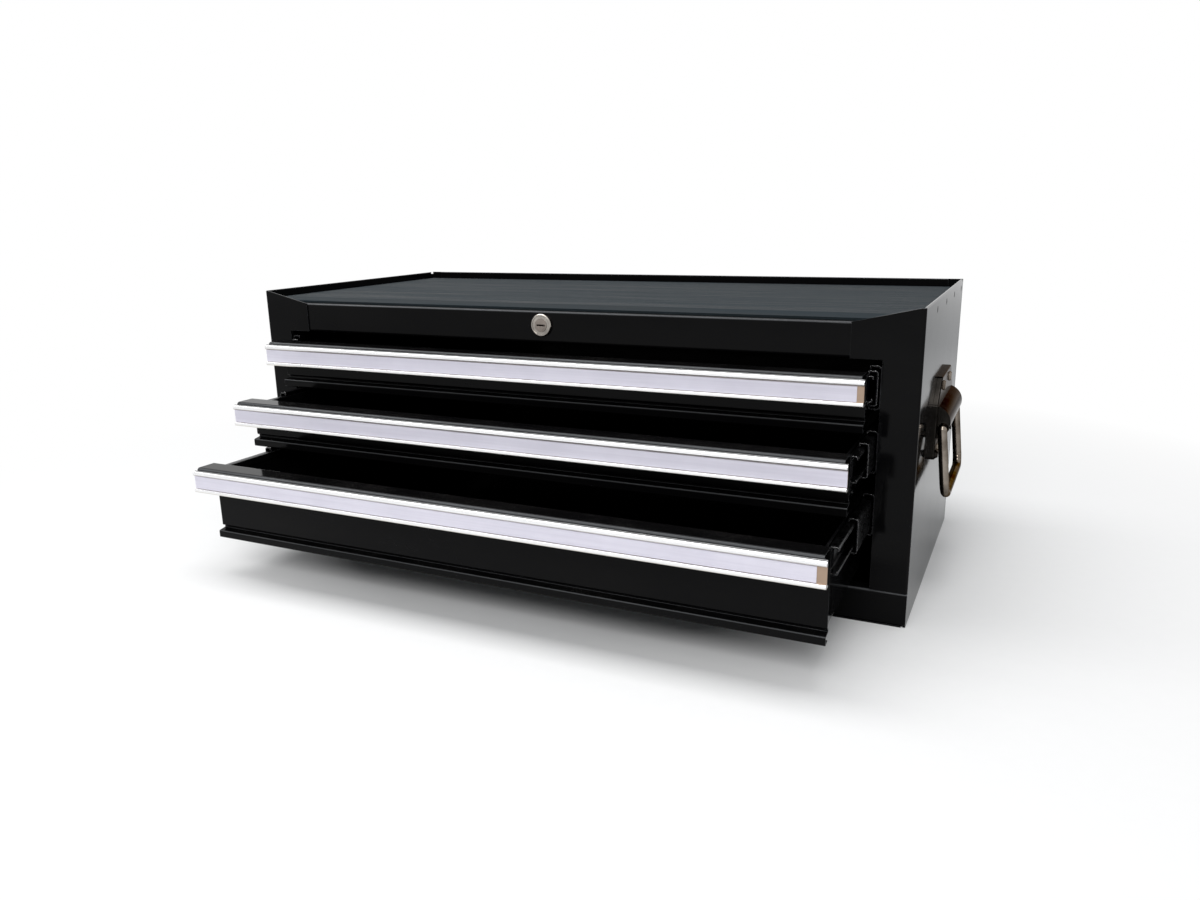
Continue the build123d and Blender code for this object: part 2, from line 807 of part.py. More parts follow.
def drawer_pull(drawer):
    """Full-width extrusion on the front's turned-down lip, with a label channel."""
    back = face_y(drawer) - top_flange_reach
    wall = back - pull_wall
    nose = back - pull_nose_reach
    ledge = back - pull_ledge
    bead_back = ledge - pull_groove_width
    top = drawer_top(drawer) - pull_top_drop
    bead_top = top - pull_bead_drop
    foot = top - pull_height
    with BuildPart() as pull:
        with BuildSketch(Plane.YZ.offset(-pull_length / 2)) as pull_section:
            with BuildLine():
                Polyline(
                    (back, top),
                    (ledge, top),
                    (ledge, top - pull_groove_depth),
                    (bead_back, top - pull_groove_depth),
                    (bead_back, bead_top),
                    (nose, bead_top),
                    (nose, top - pull_bead_height),
                    (wall, top - pull_bead_height),
                    (wall, foot + pull_lip_height),
                    (nose, foot + pull_lip_height),
                    (nose, foot),
                    (back + pull_hook, foot),
                    (back + pull_hook, foot + pull_hook_height),
                    (back, foot + pull_hook_height),
                    close=True,
                )
            make_face()
            nose_corners = pull_section.vertices().group_by(Axis.X)[0].sort_by(Axis.Y)
            fillet(nose_corners[:2], radius=pull_lip_round)
            nose_corners = pull_section.vertices().group_by(Axis.X)[0].sort_by(Axis.Y)
            fillet(nose_corners[-2:], radius=pull_bead_round)
        extrude(amount=pull_length)
    return pull


def label_strip(drawer):
    """Plain strip in the pull's channel."""
    wall = face_y(drawer) - top_flange_reach - pull_wall
    top = drawer_top(drawer) - pull_top_drop
    with BuildPart() as strip:
        span_box(
            (-pull_length / 2, pull_length / 2 - label_short_by[drawer]),
            (wall - label_thickness, wall),
            (top - pull_height + pull_lip_height + label_height_play,
             top - pull_bead_height - label_height_play),
        )
    return strip


for drawer in drawer_names:
    write(drawer_tray(drawer), f"drawer_tray_{drawer}")
    write(drawer_front(drawer), f"drawer_front_{drawer}")
    write(drawer_pull(drawer), f"drawer_pull_{drawer}")
    write(label_strip(drawer), f"label_strip_{drawer}")

# ================================================================ lock
# Fixed cylinder: head on the rail's face, barrel through the rail.
with BuildPart() as lock_cylinder:
    with BuildSketch(facing_front(rail_face_y)) as lock_head:
        with Locations((0, lock_height)):
            Circle(lock_head_radius)
    extrude(amount=lock_head_height)
    chamfer(
        lock_cylinder.edges().group_by(Axis.Y)[0],
        length=lock_head_chamfer,
    )
    with BuildSketch(facing_front(rail_face_y)) as lock_barrel:
        with Locations((0, lock_height)):
            Circle(lock_barrel_radius)
    extrude(amount=-lock_barrel_length)
    with BuildSketch(facing_front(rail_face_y - lock_head_height)) as lock_ring:
        with Locations((0, lock_height)):
            Circle(lock_ring_radius)
    extrude(amount=-lock_ring_depth, mode=Mode.SUBTRACT)
    with BuildSketch(facing_front(rail_face_y - lock_head_height)) as lock_bore:
        with Locations((0, lock_height)):
            Circle(plug_radius + plug_play)
    extrude(amount=-(lock_head_height + lock_barrel_length), mode=Mode.SUBTRACT)
write(lock_cylinder, "lock_cylinder")

with BuildPart() as lock_nut:
    with BuildSketch(facing_front(rail_face_y + cabinet_sheet)) as nut_face:
        with Locations((0, lock_height)):
            RegularPolygon(nut_across_flats / 2, side_count=6, major_radius=False)
            Circle(lock_barrel_radius + hole_play, mode=Mode.SUBTRACT)
    extrude(amount=-nut_thickness)
write(lock_nut, "lock_nut")

# Keyed plug, level key slot in its face.
with BuildPart() as lock_plug:
    plug_front_y = rail_face_y - lock_head_height + lock_ring_depth - plug_proud
    with BuildSketch(facing_front(plug_front_y)) as plug_face:
        with Locations((0, lock_height)):
            Circle(plug_radius)
    extrude(amount=-(plug_rear_y - plug_front_y))
    with BuildSketch(facing_front(plug_front_y)) as key_slot:
        with Locations((0, lock_height)):
            Rectangle(key_slot_width, key_slot_height)
    extrude(amount=-key_slot_depth, mode=Mode.SUBTRACT)
write(lock_plug, "lock_plug")

# Rod under the shelf, from the plug to a crank at the back.
with BuildPart() as lock_rod:
    with BuildSketch(facing_front(plug_rear_y)) as rod_section:
        with Locations((0, lock_height)):
            Circle(rod_radius)
    extrude(amount=-(crank_arm_y - plug_rear_y))
    with BuildSketch(facing_front(crank_arm_y)) as crank_arm:
        with Locations((0, lock_height)):
            Circle(crank_hub_radius)
        with Locations((crank_pin_x, crank_pin_z)):
            Circle(crank_hub_radius)
        make_hull()
    extrude(amount=-crank_arm_thickness)
    with BuildSketch(facing_front(crank_arm_y)) as crank_pin:
        with Locations((crank_pin_x, crank_pin_z)):
            Circle(crank_pin_radius)
    extrude(amount=-(crank_arm_thickness + arm_gap + bar_thickness + pin_past_bar))
write(lock_rod, "lock_rod")

# Lifting bar behind the drawers: slotted at the crank, with a tongue per drawer.
with BuildPart() as lock_bar:
    slot_half_height = crank_pin_radius + crank_pin_play
    slot_length = (
        crank_radius * (1 - cos(radians(crank_half_turn))) + 2 * slot_half_height
    )
    bar_span = (bar_x - bar_width / 2, bar_x + bar_width / 2)
    span_box(
        bar_span,
        (bar_y, bar_y + bar_thickness),
        (bar_foot_height, crank_pin_z + slot_half_height + bar_slot_edge),
    )
    with BuildSketch(facing_front(bar_y)) as crank_slot:
        with Locations((bar_x, crank_pin_z)):
            SlotOverall(slot_length, 2 * slot_half_height)
    extrude(amount=-bar_thickness, mode=Mode.SUBTRACT)
    tongue_y = bar_y - bar_catch_space - catch_sheet - tongue_play - catch_sheet
    for drawer in drawer_names:
        catch_foot = tray_rim(drawer) - catch_drop - catch_sheet - catch_lip
        lip_top = catch_foot - tongue_rise_gap
        lip_foot = lip_top - tongue_lip
        span_box(
            bar_span, (tongue_y, bar_y), (lip_foot - catch_sheet, lip_foot)
        )
        span_box(bar_span, (tongue_y, tongue_y + catch_sheet), (lip_foot, lip_top))
write(lock_bar, "lock_bar")

# Guides: two slotted brackets for the bar and a hanger for the rod.
with BuildPart() as lock_guides:
    guide_half = bar_width / 2 + guide_margin
    guide_rear = rear_y - cabinet_sheet
    for height in guide_heights:
        span_box(
            (bar_x - guide_half, bar_x + guide_half),
            (bar_y - guide_play - guide_nose, guide_rear),
            (height, height + guide_thickness),
        )
        span_box(
            (bar_x - guide_half, bar_x + guide_half),
            (guide_rear - cabinet_sheet, guide_rear),
            (height - guide_foot, height),
        )
        span_box(
            (bar_x - bar_width / 2 - guide_play, bar_x + bar_width / 2 + guide_play),
            (bar_y - guide_play, bar_y + bar_thickness + guide_play),
            (height, height + guide_thickness),
            mode=Mode.SUBTRACT,
        )
    hanger_y = rear_y - hanger_back
    span_box(
        (-hanger_width / 2, hanger_width / 2),
        (hanger_y, hanger_y + hanger_sheet),
        (shelf_under - hanger_drop, shelf_under),
    )
    span_box(
        (-hanger_width / 2, hanger_width / 2),
        (hanger_y, hanger_y + hanger_foot),
        (shelf_under - hanger_sheet, shelf_under),
    )
    with BuildSketch(facing_front(hanger_y)) as hanger_hole:
        with Locations((0, lock_height)):
            Circle(rod_radius + plug_play)
    extrude(amount=-hanger_sheet, mode=Mode.SUBTRACT)
write(lock_guides, "lock_guides")

# ================================================================ side handles
# Pressed plate with a hollow half-round barrel, end caps and two rest pads.
with BuildPart() as handle_plate_right:
    with BuildSketch(Plane.YZ.offset(half_width)) as plate_outline:
        with BuildLine():
            right_edge = [
                (plate_top_half, plate_top),
                (plate_half, plate_shoulder),
                (plate_nose_half, plate_nose_foot),
                (plate_nose_inner, plate_nose_foot),
                (plate_nose_inner - plate_corner, plate_middle_foot),
            ]
            left_edge = [(-y, z) for y, z in reversed(right_edge)]
            Polyline(
                *[(y, handle_height + z) for y, z in right_edge + left_edge],
                close=True,
            )
        make_face()
        fillet(plate_outline.vertices(), radius=plate_corner)
    extrude(amount=plate_depth)
    fillet(handle_plate_right.edges().group_by(Axis.X)[-1], radius=plate_edge_round)
    with BuildSketch(Plane.YZ.offset(half_width)) as plate_hollow:
        add(plate_outline.sketch)
        offset(amount=-handle_sheet, mode=Mode.REPLACE)
    extrude(amount=plate_depth - handle_sheet, mode=Mode.SUBTRACT)
    with BuildSketch(Plane.YZ.offset(half_width)) as rivet_bosses:
        with Locations(*handle_rivet_places):
            Circle(rivet_boss_radius)
    extrude(amount=plate_depth - handle_sheet)
    with BuildSketch(Plane.YZ.offset(half_width)) as barrel_window:
        with Locations((0, handle_height)):
            Rectangle(
                2 * (barrel_half_length - handle_sheet),
                2 * (barrel_radius - handle_sheet),
            )
    extrude(amount=plate_depth, mode=Mode.SUBTRACT)
    with BuildSketch(facing_front(-barrel_half_length)) as barrel_section:
        with Locations((half_width, handle_height)):
            Circle(barrel_radius)
            Circle(barrel_radius - handle_sheet, mode=Mode.SUBTRACT)
        with Locations((half_width - barrel_radius, handle_height)):
            Rectangle(2 * barrel_radius, 2 * barrel_radius, mode=Mode.SUBTRACT)
    extrude(amount=-2 * barrel_half_length)
    for side in (-1, 1):
        cap_face = side * barrel_half_length
        with BuildSketch(facing_front(cap_face)) as barrel_cap:
            with Locations((half_width, handle_height)):
                Circle(barrel_radius)
            with Locations((half_width - barrel_radius, handle_height)):
                Rectangle(2 * barrel_radius, 2 * barrel_radius, mode=Mode.SUBTRACT)
            with Locations((pivot_x, pivot_z)):
                Circle(bail_stub_radius + bail_stub_play, mode=Mode.SUBTRACT)
        extrude(amount=side * handle_sheet)
        with BuildSketch(Plane.YZ.offset(half_width + plate_depth)) as pad_foot:
            with Locations((side * bail_half_length, pad_z)):
                Circle(pad_foot_radius)
        with BuildSketch(Plane.YZ.offset(half_width + pad_reach)) as pad_crown:
            with Locations((side * bail_half_length, pad_z)):
                Circle(pad_top_radius)
        loft()
    with BuildSketch(Plane.YZ.offset(half_width)) as plate_holes:
        with Locations(*handle_rivet_places):
            Circle(handle_rivet_radius + handle_rivet_play)
    extrude(amount=plate_depth, mode=Mode.SUBTRACT)
write(handle_plate_right, "handle_plate_right")

with BuildPart() as handle_plate_left:
    mirror(handle_plate_right.part, about=Plane.YZ)
write(handle_plate_left, "handle_plate_left")

# Wire bail, hanging against the rest pads; its turned ends sit in the barrel's caps.
with BuildPart() as bail_right:
    bail_plane = Plane(
        origin=(pivot_x, 0, pivot_z),
        x_dir=(0, 1, 0),
        z_dir=(cos(lean), 0, sin(lean)),
    )
    with BuildLine(bail_plane) as bail_path:
        FilletPolyline(
            (-bail_half_length, 0),
            (-bail_half_length, -bail_drop),
            (bail_half_length, -bail_drop),
            (bail_half_length, 0),
            radius=bail_bend,
        )
    with BuildSketch(Plane(bail_path.line @ 0, z_dir=bail_path.line % 0)) as wire:
        Circle(bail_wire_radius)
    sweep()
    stub_inside = barrel_half_length - handle_sheet - bail_stub_past
    for side in (-1, 1):
        with Locations((pivot_x, side * bail_half_length, pivot_z)):
            Sphere(bail_wire_radius)
        with BuildSketch(facing_front(side * stub_inside)) as stub:
            with Locations((pivot_x, pivot_z)):
                Circle(bail_stub_radius)
        extrude(amount=-side * (bail_half_length - stub_inside))
write(bail_right, "bail_right")

with BuildPart() as bail_left:
    mirror(bail_right.part, about=Plane.YZ)
write(bail_left, "bail_left")

# Domed rivets through the handle plates and side panels.
with BuildPart() as handle_rivets:
    for side in (-1, 1):
        with BuildSketch(Plane.YZ.offset(side * inner_half_width)) as rivet_shanks:
            with Locations(*handle_rivet_places):
                Circle(handle_rivet_radius)
        extrude(amount=side * (cabinet_sheet + plate_depth))
        with BuildSketch(Plane.YZ.offset(side * (half_width + plate_depth))) as domes:
            with Locations(*handle_rivet_places):
                Circle(handle_rivet_head)
        extrude(amount=side * handle_rivet_dome, taper=30)
        with BuildSketch(Plane.YZ.offset(side * inner_half_width)) as rivet_tails:
            with Locations(*handle_rivet_places):
                Circle(handle_rivet_head)
        extrude(amount=-side * handle_rivet_dome)
write(handle_rivets, "handle_rivets")
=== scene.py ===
import json
import math

import bmesh
import bpy
from mathutils import Matrix, Vector


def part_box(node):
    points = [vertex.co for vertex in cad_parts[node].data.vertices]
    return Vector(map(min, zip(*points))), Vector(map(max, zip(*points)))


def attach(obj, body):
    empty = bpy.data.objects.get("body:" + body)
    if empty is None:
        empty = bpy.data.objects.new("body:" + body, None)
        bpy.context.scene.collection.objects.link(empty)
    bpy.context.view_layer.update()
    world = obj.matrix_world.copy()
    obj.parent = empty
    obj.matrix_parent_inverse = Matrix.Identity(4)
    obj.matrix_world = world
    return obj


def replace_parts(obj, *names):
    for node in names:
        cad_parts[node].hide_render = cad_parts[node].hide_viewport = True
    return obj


# Machinist tool chest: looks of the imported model. Metres, origin at the centre of the
# underside, +X along the front, the drawers open towards -Y, +Z up.

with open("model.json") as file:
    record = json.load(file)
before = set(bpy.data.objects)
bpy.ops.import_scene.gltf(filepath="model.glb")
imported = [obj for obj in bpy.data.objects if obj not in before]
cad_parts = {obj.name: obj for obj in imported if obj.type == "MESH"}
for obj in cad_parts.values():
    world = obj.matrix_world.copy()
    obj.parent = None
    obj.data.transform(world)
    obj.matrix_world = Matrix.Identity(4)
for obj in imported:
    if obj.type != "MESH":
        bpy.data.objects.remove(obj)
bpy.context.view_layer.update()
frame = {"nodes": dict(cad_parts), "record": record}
nodes = frame["nodes"]
MM = 0.001
DRAWERS = ("top", "middle", "bottom")
SIDES = ("left", "right")


def rgb(red, green, blue):
    return (red, green, blue, 1.0)


def grey(level):
    return rgb(level, level, level)


WHITE = grey(1.0)


# ------------------------------------------------------------------ node helpers
class Tree:
    """Adds nodes to a tree and joins them; an input takes a value or a socket."""

    def __init__(self, tree):
        self.tree = tree
        self.tree.nodes.clear()

    def add(self, kind, settings=None, **inputs):
        node = self.tree.nodes.new(kind)
        for key, value in (settings or {}).items():
            setattr(node, key, value)
        for key, value in inputs.items():
            self.put(node.inputs[key.replace("_", " ")], value)
        return node

    def put(self, socket, value):
        if isinstance(value, bpy.types.NodeSocket):
            self.tree.links.new(value, socket)
        else:
            socket.default_value = value

    def math(self, operation, first, second):
        node = self.add("ShaderNodeMath", {"operation": operation})
        self.put(node.inputs[0], first)
        self.put(node.inputs[1], second)
        return node.outputs[0]

    def times(self, first, *others):
        for other in others:
            first = self.math("MULTIPLY", first, other)
        return first

    def mix(self, factor, first, second):
        node = self.add("ShaderNodeMix", {"data_type": "RGBA", "blend_type": "MIX"})
        for socket, value in ((node.inputs[0], factor), (node.inputs[6], first),
                              (node.inputs[7], second)):
            self.put(socket, value)
        return node.outputs[2]

    def span(self, value, start, end, low, high):
        """Carries value from start..end over to low..high, and holds it there outside."""
        node = self.add("ShaderNodeMapRange", Value=value)
        for key, number in (("From Min", start), ("From Max", end),
                            ("To Min", low), ("To Max", high)):
            node.inputs[key].default_value = number
        return node.outputs[0]

    def ramp(self, value, start, end, top=1.0):
        return self.span(value, start, end, 0.0, top)

    def place(self, scale=(1, 1, 1)):
        """Object coordinates in metres, stretched by scale."""
        source = self.add("ShaderNodeTexCoord").outputs["Object"]
        mapped = self.add("ShaderNodeMapping", Vector=source)
        mapped.inputs["Scale"].default_value = scale
        return mapped.outputs[0]

    def axes(self, vector):
        return self.add("ShaderNodeSeparateXYZ", Vector=vector).outputs

    def noise(self, vector, scale, detail=2.0, rough=0.5):
        return self.add("ShaderNodeTexNoise", Vector=vector, Scale=scale,
                        Detail=detail, Roughness=rough).outputs["Fac"]

    def rounded(self, radius):
        """Shading normal that rounds sharp edges off."""
        return self.add("ShaderNodeBevel", {"samples": 6}, Radius=radius).outputs[0]

    def edges(self, radius, sharp, flat):
        """Rounded normal, and 1 on a sharp edge to 0 off it.

        sharp and flat are how far the two normals agree at those ends."""
        soft = self.rounded(radius)
        turn = self.add("ShaderNodeVectorMath", {"operation": "DOT_PRODUCT"})
        self.put(turn.inputs[0], soft)
        self.put(turn.inputs[1], self.add("ShaderNodeNewGeometry").outputs["Normal"])
        return soft, self.ramp(turn.outputs["Value"], flat, sharp)

    def bump(self, height, strength, distance, normal=None):
        node = self.add("ShaderNodeBump", Height=height, Strength=strength,
                        Distance=distance)
        if normal is not None:
            self.put(node.inputs["Normal"], normal)
        return node.outputs[0]

    def blend_surfaces(self, factor, first, second, kind):
        """Mixes two shaders into an output node of the given kind."""
        mixed = self.add("ShaderNodeMixShader")
        for socket, value in zip(mixed.inputs,
                                 (factor, first.outputs[0], second.outputs[0])):
            self.put(socket, value)
        self.put(self.add(kind).inputs["Surface"], mixed.outputs[0])


def new_material(name, **settings):
    """A Principled material; settings are the values of its own sockets."""
    material = bpy.data.materials.new(name)
    material.use_nodes = True
    tree = Tree(material.node_tree)
    shader = tree.add("ShaderNodeBsdfPrincipled", **settings)
    tree.put(tree.add("ShaderNodeOutputMaterial").inputs["Surface"], shader.outputs[0])
    return material, tree, shader


# ------------------------------------------------------------------ materials
# the dust is real; the grey on bends is a painted highlight, the grey on sharp edges is wear
# and a painted highlight
DUST, FOLD_HIGHLIGHT_GREY, EDGE_WEAR_AND_HIGHLIGHT_GREY = (rgb(0.16, 0.15, 0.14), rgb(0.085, 0.088, 0.092),
                                  rgb(0.10, 0.104, 0.11))
DUST_ROUGHNESS = 0.4


def gloss_paint(name, dark, light, rough):
    """Black enamel: orange peel, wipe marks, settled dust, painted highlights on bends, and
    worn edges that also carry a painted highlight.
    """
    material, tree, shader = new_material(name, IOR=1.16)
    place = tree.place()
    smear = tree.noise(tree.place((1.0, 1.0, 2.2)), scale=7.0, detail=4.0, rough=0.6)
    cloud = tree.noise(place, scale=26.0, detail=5.0, rough=0.62)
    specks = tree.noise(place, scale=1400.0)
    peel = tree.noise(place, scale=210.0, rough=0.45)
    facing = tree.axes(tree.add("ShaderNodeNewGeometry").outputs["Normal"])
    # dust lies on what faces up
    dust = tree.times(tree.ramp(specks, 0.56, 0.72), tree.ramp(facing["Z"], 0.6, 1.0),
                      tree.ramp(cloud, 0.42, 0.68, top=0.3))
    # painted highlight: bends that face up and forward, towards the lamps, are painted a
    # lighter grey
    fold_highlight = tree.times(tree.ramp(facing["Z"], 0.25, 0.6), tree.ramp(facing["Z"], 0.97, 0.85),
                      tree.ramp(facing["Y"], -0.2, -0.4), tree.span(smear, 0.3, 0.7, 0.6, 1.0))
    # wear and painted highlight: sharp edges are painted a lighter grey
    soft_edge, edge = tree.edges(0.3 * MM, sharp=0.75, flat=0.985)
    edge = tree.times(edge, tree.span(cloud, 0.35, 0.65, 0.5, 1.0))
    tint = tree.mix(tree.ramp(smear, 0.35, 0.65), dark, light)
    # dust, then the painted highlights on bends and edges, are laid over the tint
    for amount, colour in ((dust, DUST), (fold_highlight, FOLD_HIGHLIGHT_GREY), (edge, EDGE_WEAR_AND_HIGHLIGHT_GREY)):
        tint = tree.mix(amount, tint, colour)
    tree.put(shader.inputs["Base Color"], tint)
    gloss = tree.span(tree.mix(0.5, smear, cloud), 0.38, 0.64, *rough)
    tree.put(shader.inputs["Roughness"],
             tree.math("ADD", gloss, tree.times(dust, DUST_ROUGHNESS)))
    tree.put(shader.inputs["Normal"],
             tree.bump(peel, strength=0.10, distance=0.05 * MM, normal=soft_edge))
    return material


# Where the painted reflections and painted shades start and are full on a pull's section, in
# mm: behind its face, above its foot or below its top
CHANNEL_DEPTH, CHANNEL_FOOT, CHANNEL_TOP = (1.2, 2.0), (3.1, 3.5), (4.5, 4.9)
BEAD_SHADE_TOP, BEAD_SHADE_FOOT = (3.0, 4.6), (5.4, 4.9)
LIP_FOOT = (1.8, 0.2)
GROOVE_FRONT, GROOVE_BACK, GROOVE_FLOOR = (1.95, 2.05), (2.55, 2.45), (1.3, 1.0)
ALUMINIUM_DULL, ALUMINIUM_BRIGHT = rgb(0.80, 0.80, 0.81), grey(0.93)
# painted reflection: tan for the channel face behind the label
CHANNEL_REFLECTION_DARK, CHANNEL_REFLECTION_LIGHT = rgb(0.30, 0.22, 0.165), rgb(0.44, 0.33, 0.25)
# painted shade under the bead and in the groove, and a painted reflection on the lip's foot
BEAD_SHADE, LIP_REFLECTION, GROOVE_SHADE = (rgb(0.30, 0.255, 0.215), rgb(0.52, 0.48, 0.40),
                                  rgb(0.03, 0.028, 0.026))
BEAD_SHADE_STRENGTH, LIP_REFLECTION_STRENGTH, CHANNEL_REFLECTION_ROUGHNESS = 0.85, 0.75, 0.2


def drawn_aluminium(name, drawer):
    """Satin extrusion, drawn along X; its channel behind the label is painted tan, a painted
    reflection; the lip's foot carries a painted reflection, the bead's underside and the
    groove painted shade.
    """
    material, tree, shader = new_material(name, Metallic=1.0)
    low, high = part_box(f"drawer_pull_{drawer}")
    spot = tree.axes(tree.add("ShaderNodeTexCoord").outputs["Object"])

    def behind_face(start, end):
        return tree.ramp(spot["Y"], low[1] + start * MM, low[1] + end * MM)

    def above_foot(start, end, top=1.0):
        return tree.ramp(spot["Z"], low[2] + start * MM, low[2] + end * MM, top)

    def below_top(start, end):
        return tree.ramp(spot["Z"], high[2] - start * MM, high[2] - end * MM)

    lines = tree.noise(tree.place((18.0, 2600.0, 2600.0)), scale=1.0, detail=3.0, rough=0.65)
    cloud = tree.noise(tree.place(), scale=38.0, detail=4.0, rough=0.6)
    wear = tree.mix(0.35, lines, cloud)
    # painted reflection: the channel face behind the label is painted tan
    channel_reflection = tree.times(behind_face(*CHANNEL_DEPTH), above_foot(*CHANNEL_FOOT),
                       below_top(*CHANNEL_TOP))
    # painted shade and reflection along the bead's underside
    bead_shade = tree.times(below_top(*BEAD_SHADE_TOP), below_top(*BEAD_SHADE_FOOT), BEAD_SHADE_STRENGTH)
    # painted reflection: a pale warm colour on the lip's foot
    lip_reflection = above_foot(*LIP_FOOT, top=LIP_REFLECTION_STRENGTH)
    # painted shade: the groove behind the bead is painted near black
    groove = tree.times(behind_face(*GROOVE_FRONT), behind_face(*GROOVE_BACK),
                        below_top(*GROOVE_FLOOR))
    tint = tree.mix(tree.ramp(wear, 0.3, 0.7), ALUMINIUM_DULL, ALUMINIUM_BRIGHT)
    for amount, colour in ((channel_reflection, tree.mix(cloud, CHANNEL_REFLECTION_DARK, CHANNEL_REFLECTION_LIGHT)),
                           (bead_shade, BEAD_SHADE), (lip_reflection, LIP_REFLECTION), (groove, GROOVE_SHADE)):
        tint = tree.mix(amount, tint, colour)
    tree.put(shader.inputs["Base Color"], tint)
    tree.put(shader.inputs["Roughness"],
             tree.math("ADD", tree.span(wear, 0.3, 0.7, 0.20, 0.34),
                       tree.times(channel_reflection, CHANNEL_REFLECTION_ROUGHNESS)))
    tree.put(shader.inputs["Normal"],
             tree.bump(lines, strength=0.12, distance=0.02 * MM,
                       normal=tree.rounded(0.15 * MM)))
    return material


def plated_steel(name, dark, light, bright):
    """Plated steel: faint spangle, smudged gloss, sharp edges painted bright as cut metal and
    as a painted highlight.
    """
    material, tree, shader = new_material(name, Metallic=1.0)
    place = tree.place()
    cells = tree.add("ShaderNodeTexVoronoi", Vector=place, Scale=420.0).outputs["Color"]
    cell = tree.add("ShaderNodeSeparateColor", Color=cells).outputs[0]
    cloud = tree.noise(place, scale=60.0, detail=4.0, rough=0.6)
    spangle_share = 0.35
    tone = tree.math("ADD", tree.times(cell, spangle_share),
                     tree.times(cloud, 1.0 - spangle_share))
    # cut metal and painted highlight: sharp edges are painted bright
    soft_edge, edge = tree.edges(0.25 * MM, sharp=0.7, flat=0.97)
    tree.put(shader.inputs["Base Color"],
             tree.mix(edge, tree.mix(tree.ramp(tone, 0.25, 0.75), dark, light), bright))
    tree.put(shader.inputs["Roughness"], tree.span(tone, 0.25, 0.75, 0.22, 0.42))
    tree.put(shader.inputs["Normal"],
             tree.bump(tree.noise(place, scale=900.0), strength=0.06, distance=0.03 * MM,
                       normal=soft_edge))
    return material


def polished_plating(name, dark, light, rough, glancing=WHITE):
    """Polished plating: a mirror with faint wipe marks and pits.

    glancing tints it where it is seen nearly edge on."""
    material, tree, shader = new_material(name, Metallic=1.0, Specular_Tint=glancing)
    place = tree.place()
    cloud = tree.noise(place, scale=45.0, detail=5.0, rough=0.65)
    pits = tree.noise(place, scale=1600.0)
    tree.put(shader.inputs["Base Color"],
             tree.mix(tree.ramp(cloud, 0.35, 0.65), dark, light))
    tree.put(shader.inputs["Roughness"], tree.span(cloud, 0.35, 0.68, *rough))
    tree.put(shader.inputs["Normal"],
             tree.bump(pits, strength=0.04, distance=0.02 * MM,
                       normal=tree.rounded(0.3 * MM)))
    return material


def label_plastic(name):
    """Satin lavender-white strip with a faint flow grain along its length."""
    material, tree, shader = new_material(name, IOR=1.46)
    flow = tree.noise(tree.place((6.0, 400.0, 400.0)), scale=1.0, detail=3.0, rough=0.6)
    cloud = tree.noise(tree.place(), scale=22.0, detail=4.0, rough=0.6)
    tone = tree.ramp(tree.mix(0.5, flow, cloud), 0.35, 0.65)
    tree.put(shader.inputs["Base Color"],
             tree.mix(tone, rgb(0.66, 0.64, 0.735), rgb(0.76, 0.74, 0.835)))
    tree.put(shader.inputs["Roughness"], tree.span(cloud, 0.35, 0.65, 0.28, 0.44))
    tree.put(shader.inputs["Normal"],
             tree.bump(tree.noise(tree.place(), scale=1300.0), strength=0.05,
                       distance=0.02 * MM))
    return material


def mat_rubber(name):
    """Matt rubber: fine grain, and a chalky bloom in streaks along X."""
    material, tree, shader = new_material(name, IOR=1.26, Sheen_Weight=0.03,
                                          Sheen_Roughness=0.5)
    grain = tree.noise(tree.place(), scale=2600.0)
    bloom = tree.noise(tree.place((0.35, 9.0, 1.0)), scale=14.0, detail=5.0, rough=0.65)
    tone = tree.ramp(tree.mix(0.3, bloom, grain), 0.35, 0.65)
    tree.put(shader.inputs["Base Color"],
             tree.mix(tone, rgb(0.001, 0.004, 0.0055), rgb(0.012, 0.020, 0.026)))
    tree.put(shader.inputs["Roughness"], tree.span(bloom, 0.35, 0.65, 0.42, 0.72))
    tree.put(shader.inputs["Normal"], tree.bump(grain, strength=0.25, distance=0.08 * MM))
    return material


MATERIALS = {
    "cabinet_paint": gloss_paint("enamel_black", rgb(0.0020, 0.0020, 0.0023),
                                 rgb(0.0034, 0.0033, 0.0034), rough=(0.05, 0.11)),
    "inner_paint": gloss_paint("enamel_black_inner", rgb(0.002, 0.002, 0.0023),
                               rgb(0.0035, 0.0035, 0.004), rough=(0.10, 0.18)),
    "mat_rubber": mat_rubber("rubber_ribbed"),
    "lock_nickel": polished_plating("nickel_lock", rgb(0.23, 0.21, 0.19),
                                    rgb(0.40, 0.37, 0.335), rough=(0.12, 0.24)),
    "zinc_steel": plated_steel("zinc_steel", rgb(0.42, 0.43, 0.45), rgb(0.62, 0.62, 0.63),
                               bright=grey(0.7)),
    "slide_steel": plated_steel("slide_steel", rgb(0.012, 0.012, 0.013),
                                rgb(0.03, 0.03, 0.032), bright=grey(0.66)),
    "cage_steel": plated_steel("cage_steel", grey(0.20), grey(0.34), bright=grey(0.5)),
    "handle_chrome": polished_plating("chrome_handle", rgb(0.11, 0.09, 0.072),
                                      rgb(0.27, 0.235, 0.20), rough=(0.04, 0.10),
                                      glancing=rgb(0.3, 0.26, 0.225)),
    "label_plastic": label_plastic("label_plastic"),
}
